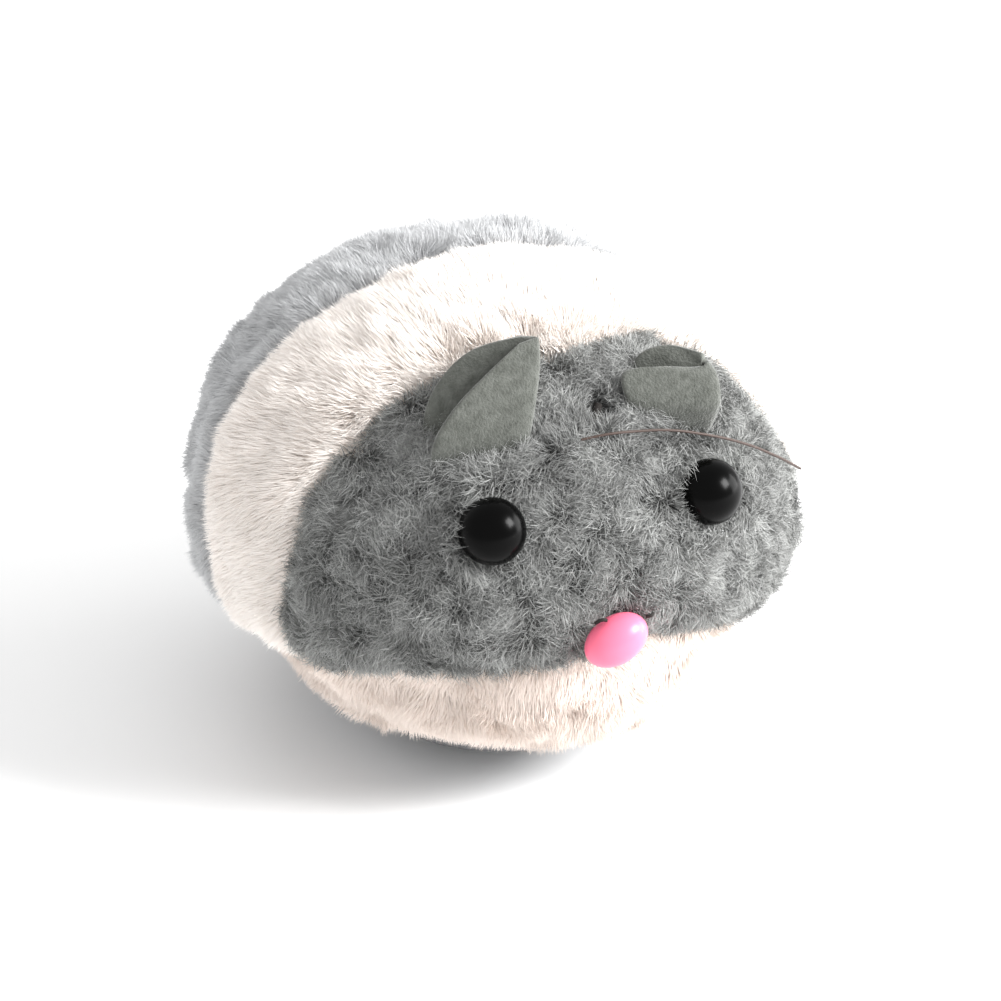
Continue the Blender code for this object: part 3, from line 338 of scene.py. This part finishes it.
def pile(name, inside, material, nap, seed, share, shares):
    """The strands of one share of one panel, a bent blade each. nap holds how the pile is cut and brushed."""
    roots = spread_ways(int(CLOTH_AREA * STRANDS_PER_MM2 * nap["density"]), seed)[share::shares]
    draw = seeded(seed + 100 + share)
    base = body_surface(roots)
    wanted = inside(base)
    roots = roots[wanted]
    base = base[wanted]
    up = facing(roots)
    uneven = 1 + nap["uneven"] * lumps(base, UNEVEN_SIZE, seed + 7)
    reach = nap["length"] * uneven * draw.uniform(0.7, 1.08, len(base))
    for place, room, stub in BARE:
        near = np.linalg.norm(base + up * BARE_HEIGHT - place, axis=1)
        reach *= stub + (1 - stub) * smooth(room - 0.8, room + 0.6, near)
    over = np.zeros_like(base)
    stand = np.zeros((len(base), 1))
    for eye, lap in LAPS:
        away = base + up * LAP_HEIGHT - eye
        near = np.linalg.norm(away, axis=1)
        ring = np.exp(-(((near - LAP_RING) / LAP_RING_WIDTH) ** 2))
        close = lap * ring * smooth(-1.5, 2.0, away @ OVERHANG)
        reach *= 1 + LAP_GROWTH * close
        over -= unit(away) * close[:, None]
        stand += close[:, None]
    count = len(base)
    brush = flattened(np.broadcast_to(np.array(nap["brush"]), base.shape), up)
    swirl = np.stack([lumps(base, nap["swirl_size"], seed + k) for k in (4, 5, 6)], axis=1)
    cell = nap["tuft"]
    wander = np.stack([lumps(base, 3 * cell, seed + k) for k in (1, 2, 3)], axis=1)
    shifted = base + TUFT_WANDER * cell * wander
    pull = (np.round(shifted / cell) * cell - shifted) / cell
    lean = flattened(brush + nap["swirl"] * swirl + nap["gather"] * pull, up)
    curl = flattened(np.stack([lumps(base, 2.2 * cell, seed + k, 1) for k in (8, 9, 10)], axis=1), up)
    bends = nap["bends"]
    line = [base]
    for step in range(bends + 1):
        bent = step / bends
        stray = flattened(draw.normal(scale=nap["stray"], size=(count, 3)), up)
        way = up * (1 + (nap["lift"] - 1) * bent) + lean * (1 + 0.4 * bent) + nap["curl"] * bent * curl + stray
        way += up * stand * (1.5 - 0.6 * bent) + LAP_BEND * bent**2 * over
        line.append(line[-1] + unit(way) * (reach / (bends + 1))[:, None])
    across = unit(np.cross(line[-1] - base, up) + draw.normal(scale=nap["twist"] * nap["length"], size=(count, 3)))
    half = across * (nap["width"] / 2 * draw.uniform(0.7, 1.3, count))[:, None]
    edges = [edge for place in line[1:-1] for edge in (place - half, place + half)]
    points = np.stack([base, *edges, line[-1]], axis=1)
    tone = TONE_MIDDLE + TONE_BY_SPOT * lumps(base, TONE_SIZE, seed + 11)
    tone += draw.normal(scale=TONE_BY_STRAND, size=count)
    corners = 2 * bends + 2
    uv = np.zeros((count, corners, 2))
    uv[:, :, 0] = [UV_LOW, *np.repeat(np.arange(1, bends + 1) / (bends + 1), 2), UV_HIGH]
    uv[:, :, 1] = np.clip(tone, UV_LOW, UV_HIGH)[:, None]
    first = (np.arange(count) * corners)[:, None]
    faces = [first + [0, 2, 1]]
    for step in range(1, 2 * bends - 1, 2):
        faces += [first + [step, step + 1, step + 3], first + [step, step + 3, step + 2]]
    faces.append(first + [corners - 3, corners - 2, corners - 1])
    return mesh_object(name, points.reshape(-1, 3), np.concatenate(faces), material, uv=uv.reshape(-1, 2))


# How each cloth's pile is cut and brushed: lengths, tuft sizes and widths in millimetres, the rest as shares.
WOOLLY = {
    "length": 3.5, "brush": (0.0, 0.25, -0.2), "swirl": 0.4, "swirl_size": 6.0, "tuft": 1.3, "gather": 0.6,
    "curl": 0.9, "lift": 0.4, "stray": 0.45, "twist": 0.5, "width": 0.072, "density": 1.4, "bends": 2, "uneven": 0.12,
}
SMOOTH = {
    "length": 3.7, "brush": (0.0, 0.65, -0.5), "swirl": 0.1, "swirl_size": 9.0, "tuft": 1.6, "gather": 0.08,
    "curl": 0.14, "lift": 0.6, "stray": 0.12, "twist": 0.25, "width": 0.13, "density": 0.92, "bends": 1, "uneven": 0.05,
}
SOFT = dict(SMOOTH, length=3.6, brush=(0.0, 0.5, -0.45), swirl=0.2, gather=0.2, curl=0.25, stray=0.17)
DOWNWARD = dict(SMOOTH, length=3.3, brush=(0.0, 0.1, -0.55), swirl=0.2, gather=0.12, curl=0.2, stray=0.15)
# For each panel: where it lies, its slot, the knit's colour, the pile's root, middle and tip colours with its darkest
# tuft, its nap, and into how many pieces the pile is split. The root colour holds painted shade, the tip colour painted
# light.
PANELS = {
    "head_cover": (in_head, "grey_plush", "#4c4c4b", ("#3e3e3d", "#7c7d7b", "#bcbdbb", 0.58), WOOLLY, 6),
    "saddle_cover": (in_saddle, "white_plush", "#e9dfd4", ("#ecdfd3", "#f5ece5", "#faf6f2", 0.95), SMOOTH, 3),
    "rump_cover": (in_rump, "rump_plush", "#9a9b9c", ("#98999a", "#babbbd", "#d2d3d4", 0.88), SOFT, 4),
    "belly_cover": (in_belly, "belly_plush", "#dfd0c2", ("#decabc", "#e9dbd1", "#f2e7df", 0.93), DOWNWARD, 3),
}
for number, (cover, facts) in enumerate(PANELS.items()):
    inside, slot, cloth_code, colours, nap, shares = facts
    cloth = backing(cover + "_backing", inside, knit_finish(slot + "_knit", cloth_code))
    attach(cloth, "plush")
    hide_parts(cover)
    strands = pile_finish(slot + "_pile", *colours)
    for share in range(shares):
        fur = pile(f"{cover}_pile_{share + 1}", inside, strands, nap, 11 + 20 * number, share, shares)
        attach(fur, "plush")

# ---------------------------------------------------------------- bead eyes
# Two black acrylic safety eyes with polished domes, each on a stem through the cloth into a washer behind it.
# The pile is cut short under each one and stands round its edge.

EYE_RADIUS = 3.55
EYE_TALL = 0.92


def bead(name, place, radii, tilt, material):
    """A polished bead: a ball flattened along its own axis, which faces away from the body's middle."""
    bpy.ops.object.select_all(action="DESELECT")
    bpy.ops.mesh.primitive_uv_sphere_add(segments=64, ring_count=32, radius=1)
    ball = bpy.context.object
    ball.name = name
    axis = Vector(unit((place - MIDDLE_OF_BODY)[None])[0])
    turn = axis.to_track_quat("Z", "Y").to_matrix().to_4x4() @ Matrix.Rotation(tilt, 4, "Z")
    size = Matrix.Diagonal((*[radius * MM for radius in radii], 1.0))
    ball.data.transform(Matrix.Translation(Vector((place + MIDDLE) * MM)) @ turn @ size)
    bpy.ops.object.shade_smooth()
    ball.data.materials.append(material)
    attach(ball, "plush")
    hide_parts(name.replace("_bead", ""))
    return ball


# Black acrylic, moulded and polished: a deep black with small highlights, a little softened.
black_acrylic, _ = new_finish("black_acrylic", 0.22, Base_Color=linear("#020202"), IOR=1.49, Specular_IOR_Level=0.07)
for name, place in (("right_eye", RIGHT_EYE), ("left_eye", LEFT_EYE)):
    eye = bead(name + "_bead", place, (EYE_RADIUS, EYE_RADIUS, EYE_RADIUS * EYE_TALL), 0.0, black_acrylic)

# ---------------------------------------------------------------- nose
# A pink acrylic oval bead stands where the head, band and belly meet, held like the eyes on a stem and washer.
# Black stitches catch the cloth on both sides of it.

NOSE_RADII = (3.6, 2.6, 2.5)
NOSE_TILT = math.radians(26)
THREAD_ROUNDNESS = 2
THREAD_STEPS = 10

# Pink acrylic: a bright opaque pink with a soft gloss.
pink_acrylic, _ = new_finish("pink_acrylic", 0.32, Base_Color=linear("#f87391"), IOR=1.49, Specular_IOR_Level=0.4)
bead("nose_bead", NOSE, NOSE_RADII, NOSE_TILT, pink_acrylic)


def strand_tube(name, path, radius, material):
    """A thread as a round tube along a smooth line through these points."""
    line = bpy.data.curves.new(name, "CURVE")
    line.dimensions = "3D"
    line.bevel_depth = radius * MM
    line.bevel_resolution = THREAD_ROUNDNESS
    line.use_fill_caps = True
    spline = line.splines.new("BEZIER")
    spline.bezier_points.add(len(path) - 1)
    for point, place in zip(spline.bezier_points, path):
        point.co = (np.array(place) + MIDDLE) * MM
        point.handle_left_type = point.handle_right_type = "AUTO"
    line.resolution_u = THREAD_STEPS
    line.materials.append(material)
    made = bpy.data.objects.new(name, line)
    bpy.context.scene.collection.objects.link(made)
    return made


# Spun polyester thread: near black and matt.
black_thread, _ = new_finish("black_thread", 0.9, Base_Color=linear("#1a1512"))
STITCHES = {
    "nose_stitch_right": ([(-3.1, -36.9, 29.3), (-2.6, -37.4, 29.8), (-2.0, -37.3, 29.6)], 0.2),
    "nose_stitch_left": ([(2.5, -37.2, 28.9), (3.0, -37.4, 29.0), (3.5, -36.8, 28.8)], 0.2),
    "ear_stitch": ([(2.1, -24.0, 45.4), (2.8, -24.1, 46.5), (3.4, -23.5, 47.3)], 0.5),
}
for name, (path, radius) in STITCHES.items():
    stitch = strand_tube(name, path, radius, black_thread)
    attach(stitch, "plush")

# ---------------------------------------------------------------- ears
# Each ear is one leaf of grey wool felt about 1 mm thick, folded down its middle and sewn into the head at its base.
# The right one stands up open at the side; the left one has flopped low over its fold.

FELT = 0.9
# The ears' own axes: along their width, up their height and out of the face.
EAR_ACROSS = np.array([0.931, -0.366, 0.0])
EAR_RISE = np.array([0.166, 0.423, 0.891])
EAR_OUT = np.array([-0.326, -0.829, 0.454])
FOLD_PULL = 4.0
EAR_ROWS = 18
EAR_COLUMNS = 16


def felt_finish():
    """Pressed wool felt: fully matt, mottled at about 1 mm, with a soft fuzz of short fibres."""
    made, shader = new_finish("wool_felt", 0.95, Sheen_Weight=0.35, Specular_IOR_Level=0.15)
    where = node(made, "ShaderNodeTexCoord")
    mottle = node(made, "ShaderNodeTexNoise", Vector=where.outputs["Object"], Scale=900.0, Detail=5.0, Roughness=0.65)
    ramp = node(made, "ShaderNodeValToRGB", Fac=mottle.outputs["Fac"])
    ramp.color_ramp.elements[0].position = 0.3
    ramp.color_ramp.elements[0].color = linear("#4a4c47")
    ramp.color_ramp.elements[1].position = 0.7
    ramp.color_ramp.elements[1].color = linear("#656762")
    link(made, ramp.outputs["Color"], shader.inputs["Base Color"])
    fibre = node(made, "ShaderNodeTexNoise", Vector=where.outputs["Object"], Scale=4000.0, Detail=3.0)
    bump = node(made, "ShaderNodeBump", Height=fibre.outputs["Fac"], Strength=0.7, Distance=0.00025)
    link(made, bump.outputs["Normal"], shader.inputs["Normal"])
    return made


def along_line(points, share):
    """A smooth line through these few points, read at this share of the way along it."""
    points = np.array(points, float)
    place = np.clip(share, 0, 1) * (len(points) - 1)
    index = np.clip(np.floor(place).astype(int), 0, len(points) - 2)
    part = (place - index)[:, None]
    before = points[np.maximum(index - 1, 0)]
    start = points[index]
    end = points[index + 1]
    after = points[np.minimum(index + 2, len(points) - 1)]
    bend = (2 * before - 5 * start + 4 * end - after) * part**2 + (3 * (start - end) + after - before) * part**3
    return start + 0.5 * ((end - before) * part + bend)


def folded_ear(name, base, front, fold, rear, material):
    """A felt leaf swept from its front edge round its fold to its rear edge. Each line runs from base to tip."""
    bpy.ops.object.select_all(action="DESELECT")
    bpy.ops.mesh.primitive_grid_add(x_subdivisions=EAR_COLUMNS, y_subdivisions=EAR_ROWS, size=2)
    leaf = bpy.context.object
    leaf.name = name
    flat = np.array([vertex.co for vertex in leaf.data.vertices])
    sweep = (flat[:, 0] + 1) / 2
    rise = (flat[:, 1] + 1) / 2
    lines = [along_line(line, rise) for line in (front, fold, rear)]
    near = smooth(0.0, 1.0, sweep)[:, None]
    weights = [(1 - near) ** 2, 2 * near * (1 - near) * FOLD_PULL, near**2]
    leaf_points = lines[0] * weights[0] + lines[1] * weights[1] + lines[2] * weights[2]
    leaf_points /= weights[0] + weights[1] + weights[2]
    axes = np.stack([EAR_ACROSS, EAR_RISE, EAR_OUT])
    placed = (leaf_points @ axes + np.array(base) + MIDDLE) * MM
    for vertex, place in zip(leaf.data.vertices, placed):
        vertex.co = place
    wall = leaf.modifiers.new("wall", "SOLIDIFY")
    wall.thickness = FELT * MM
    wall.offset = 0.0
    rounder = leaf.modifiers.new("rounder", "SUBSURF")
    rounder.levels = rounder.render_levels = 2
    for modifier in ("wall", "rounder"):
        bpy.ops.object.modifier_apply(modifier=modifier)
    bpy.ops.object.mode_set(mode="EDIT")
    bpy.ops.mesh.select_all(action="SELECT")
    bpy.ops.mesh.normals_make_consistent(inside=False)
    bpy.ops.object.mode_set(mode="OBJECT")
    bpy.ops.object.shade_smooth()
    leaf.data.materials.append(material)
    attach(leaf, "plush")
    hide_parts(name.replace("_felt", ""))


# Places along the ear's width, height and outward, in millimetres from the middle of its base.
felt = felt_finish()
folded_ear(
    "right_ear_felt",
    (-10.6, -25.6, 46.0),
    front=[(-5.2, -3.0, -2.6), (-5.3, 0.3, 0.6), (-2.9, 4.2, 1.4), (0.5, 7.6, 0.9), (4.1, 10.8, 0.2)],
    fold=[(5.6, -3.0, -3.0), (7.2, 1.2, -0.4), (7.7, 5.0, 0.1), (7.4, 8.7, 0.0), (6.2, 11.5, -0.1)],
    rear=[(-5.8, -3.0, -4.6), (-6.3, 2.3, -3.4), (-4.8, 6.7, -2.9), (-1.0, 10.3, -1.9), (4.3, 11.6, -0.4)],
    material=felt,
)
folded_ear(
    "left_ear_felt",
    (11.0, -25.0, 46.9),
    front=[(-3.6, -4.2, -2.6), (-4.6, -0.4, 1.2), (-5.0, 3.0, 1.5), (-1.2, 3.3, 1.0), (2.6, 2.6, 0.6)],
    fold=[(5.6, -3.6, -3.8), (7.3, -1.2, 0.0), (7.2, 0.9, 0.6), (5.8, 2.4, 0.4), (3.9, 3.5, 0.2)],
    rear=[(-2.8, -4.6, -4.0), (-3.9, 2.2, -2.2), (-3.0, 5.0, -1.7), (0.2, 5.9, -1.2), (3.8, 4.8, 0.0)],
    material=felt,
)

# ---------------------------------------------------------------- whisker thread
# One thin brown thread is caught in the pile, from beside the left ear across the forehead to the left cheek.

# Brown nylon thread: smooth, with a dull sheen.
brown_thread, _ = new_finish("brown_thread", 0.6, Base_Color=linear("#3c2c25"))
THREAD = [
    (-0.7, -28.4, 46.2), (2.3, -28.8, 46.4), (5.5, -28.7, 46.0), (9.2, -28.6, 45.3),
    (13.3, -28.2, 43.8), (18.4, -27.0, 41.2), (24.0, -24.4, 37.2), (29.0, -20.8, 32.9),
]
THREAD_RADIUS = 0.15
thread = strand_tube("whisker_thread", THREAD, THREAD_RADIUS, brown_thread)
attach(thread, "plush")

# ---------------------------------------------------------------- clockwork inside
# A moulded two-part case holds a coiled mainspring on its arbor, moulded gears on steel staffs, a brass ratchet and a
# rocking pallet. The polyester filling packs round it, and it is screwed down to the base.


def worked_finish(name, code, roughness, grain_mm, depth_mm, uneven=0.08, stretch=(1.0, 1.0, 1.0), **sockets):
    """A material with a fine grain of this size and depth, and a slightly uneven colour and roughness."""
    made, shader = new_finish(name, roughness, **sockets)
    where = node(made, "ShaderNodeTexCoord")
    laid = node(made, "ShaderNodeMapping", Vector=where.outputs["Object"], Scale=stretch)
    grain = node(made, "ShaderNodeTexNoise", Vector=laid.outputs[0], Scale=1 / (grain_mm * MM), Detail=3.0)
    bump = node(made, "ShaderNodeBump", Height=grain.outputs["Fac"], Strength=0.5, Distance=depth_mm * MM)
    link(made, bump.outputs["Normal"], shader.inputs["Normal"])
    cloud = node(made, "ShaderNodeTexNoise", Vector=where.outputs["Object"], Scale=1 / (12 * grain_mm * MM), Detail=2.0)
    ramp = node(made, "ShaderNodeValToRGB", Fac=cloud.outputs["Fac"])
    colour = linear(code)
    for element, light in zip(ramp.color_ramp.elements, (1 - uneven, 1 + uneven)):
        element.color = [min(1.0, value * light) for value in colour[:3]] + [1.0]
    link(made, ramp.outputs["Color"], shader.inputs["Base Color"])
    worn = {"To_Min": roughness * 0.85, "To_Max": roughness * 1.15}
    rough = node(made, "ShaderNodeMapRange", Value=cloud.outputs["Fac"], **worn)
    link(made, rough.outputs["Result"], shader.inputs["Roughness"])
    return made


def dress(material, *names):
    """Gives CAD nodes their finish."""
    for name in names:
        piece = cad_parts[name]
        piece.data.materials.clear()
        piece.data.materials.append(material)


# Natural acetal: milky white, self-lubricating, a soft satin straight from the mould.
acetal = worked_finish("moulded_acetal", "#efebe0", 0.38, 0.25, 0.01, 0.03, Subsurface_Weight=0.1)
# Clear-grade polystyrene gone milky: hard, slightly glossy, with faint flow marks.
polystyrene = worked_finish("moulded_polystyrene", "#dfddd6", 0.3, 0.6, 0.015, 0.04)
# Drawn steel: bright, with fine scratches along the shaft.
drawn_steel = worked_finish("drawn_steel", "#c9c9c8", 0.28, 0.2, 0.006, 0.05, (0.06, 1.0, 1.0), Metallic=1.0)
# Blued spring steel: dark blue-grey from tempering, smooth and springy.
blued_steel = worked_finish("blued_spring_steel", "#6d7684", 0.25, 0.3, 0.004, 0.12, (0.1, 1.0, 1.0), Metallic=1.0)
# Stamped brass sheet: warm yellow, with a fine rolled grain.
stamped_brass = worked_finish("stamped_brass", "#d9b66a", 0.3, 0.2, 0.005, 0.06, (1.0, 1.0, 0.15), Metallic=1.0)
# Zinc-plated steel: pale, a little dull, slightly blotchy.
zinc_plate = worked_finish("zinc_plated_steel", "#b9bcbf", 0.36, 0.3, 0.008, 0.1, Metallic=1.0)
# Natural nylon: translucent cream white, waxy.
nylon = worked_finish("natural_nylon", "#e4e1d6", 0.42, 0.3, 0.01, 0.03, Subsurface_Weight=0.15)
# Loose polyester filling: white crimped fibre, very soft and matt.
filling = worked_finish("polyester_filling", "#f1efea", 1.0, 0.7, 0.5, 0.06, Sheen_Weight=0.3)
dress(filling, "stuffing")
dress(nylon, "right_eye_washer", "left_eye_washer", "nose_washer")
dress(polystyrene, "case_left", "case_right")
dress(blued_steel, "mainspring", "click_spring")
dress(stamped_brass, "ratchet_wheel", "click", "pallet")
dress(acetal, "great_wheel", "axle_pinion")
dress(drawn_steel, "arbor", "click_pin", "pallet_staff")
for stage in ("first", "second", "escape"):
    dress(acetal, stage + "_wheel", stage + "_pinion")
    dress(drawn_steel, stage + "_staff")
for number in range(1, 5):
    dress(zinc_plate, f"case_screw_{number}", f"base_screw_{number}")

# ---------------------------------------------------------------- running gear, base and key
# Two rubber-tyred wheels on a steel axle drive the toy, and a small roller carries its nose end.
# A moulded base closes the body from below, and a moulded key stands out of the left flank on the arbor.

# Moulded ABS with a fine spark-eroded texture: dark grey and matt.
textured_abs = worked_finish("textured_abs", "#5c5d60", 0.5, 0.18, 0.03, 0.05)
# Moulded ABS from a polished tool: dark grey with a satin gloss.
satin_abs = worked_finish("satin_abs", "#56575a", 0.3, 0.5, 0.006, 0.04)
# Moulded rubber: near black, matt, dusted grey by wear.
tyre_rubber = worked_finish("tyre_rubber", "#37373a", 0.82, 0.25, 0.03, 0.18, Specular_IOR_Level=0.35)
dress(textured_abs, "base_plate")
dress(satin_abs, "right_wheel", "left_wheel", "front_roller", "key")
dress(tyre_rubber, "right_tyre", "left_tyre")
dress(drawn_steel, "drive_axle", "front_axle")

# ---------------------------------------------------------------- studio
# A seamless pale floor and soft light from all round. One softbox stands high on the mouse's left in front, and a
# weaker one low beside its left cheek.

bpy.ops.object.select_all(action="DESELECT")
bpy.ops.mesh.primitive_plane_add(size=6)
floor = bpy.context.object
floor.name = "studio_floor"
floor_paper, _ = new_finish("studio_paper", 0.8, Base_Color=linear("#fbfbfb"), Specular_IOR_Level=0.1)
floor.data.materials.append(floor_paper)

world = bpy.data.worlds.new("studio")
bpy.context.scene.world = world
world.use_nodes = True
sky = world.node_tree.nodes["Background"]
sky.inputs["Color"].default_value = (1.0, 1.0, 1.0, 1.0)
sky.inputs["Strength"].default_value = 1.0
bpy.context.scene.view_settings.view_transform = "Standard"
LIT_PLACE = Vector((0.0, 0.0, 0.03))


def softbox(name, place, size, power):
    """A square light that faces the mouse."""
    light = bpy.data.lights.new(name, "AREA")
    light.energy = power
    light.size = size
    lamp = bpy.data.objects.new(name, light)
    lamp.location = place
    lamp.rotation_euler = (Vector(place) - LIT_PLACE).to_track_quat("Z", "Y").to_euler()
    bpy.context.scene.collection.objects.link(lamp)


softbox("key_softbox", (0.40, -0.33, 0.34), 0.22, 6.4)
softbox("side_softbox", (0.50, -0.10, 0.12), 0.30, 2.3)

# The camera looks down on the mouse from in front and to its right.
AZIMUTH = -0.3745
ELEVATION = 0.4712
ROLL = -0.0312
DISTANCE = 0.35
camera = bpy.data.cameras.new("camera")
camera.lens = 110.4
camera.shift_x = 0.0121
camera.shift_y = -0.0243
view = bpy.data.objects.new("camera", camera)
level = math.cos(ELEVATION)
back = Vector((math.sin(AZIMUTH) * level, -math.cos(AZIMUTH) * level, math.sin(ELEVATION)))
view.location = Vector((MIDDLE[0], MIDDLE[1], BODY_Z)) * MM + DISTANCE * back
turn = back.to_track_quat("Z", "Y").to_matrix().to_4x4()
view.rotation_euler = (turn @ Matrix.Rotation(ROLL, 4, "Z")).to_euler()
bpy.context.scene.collection.objects.link(view)
bpy.context.scene.camera = view
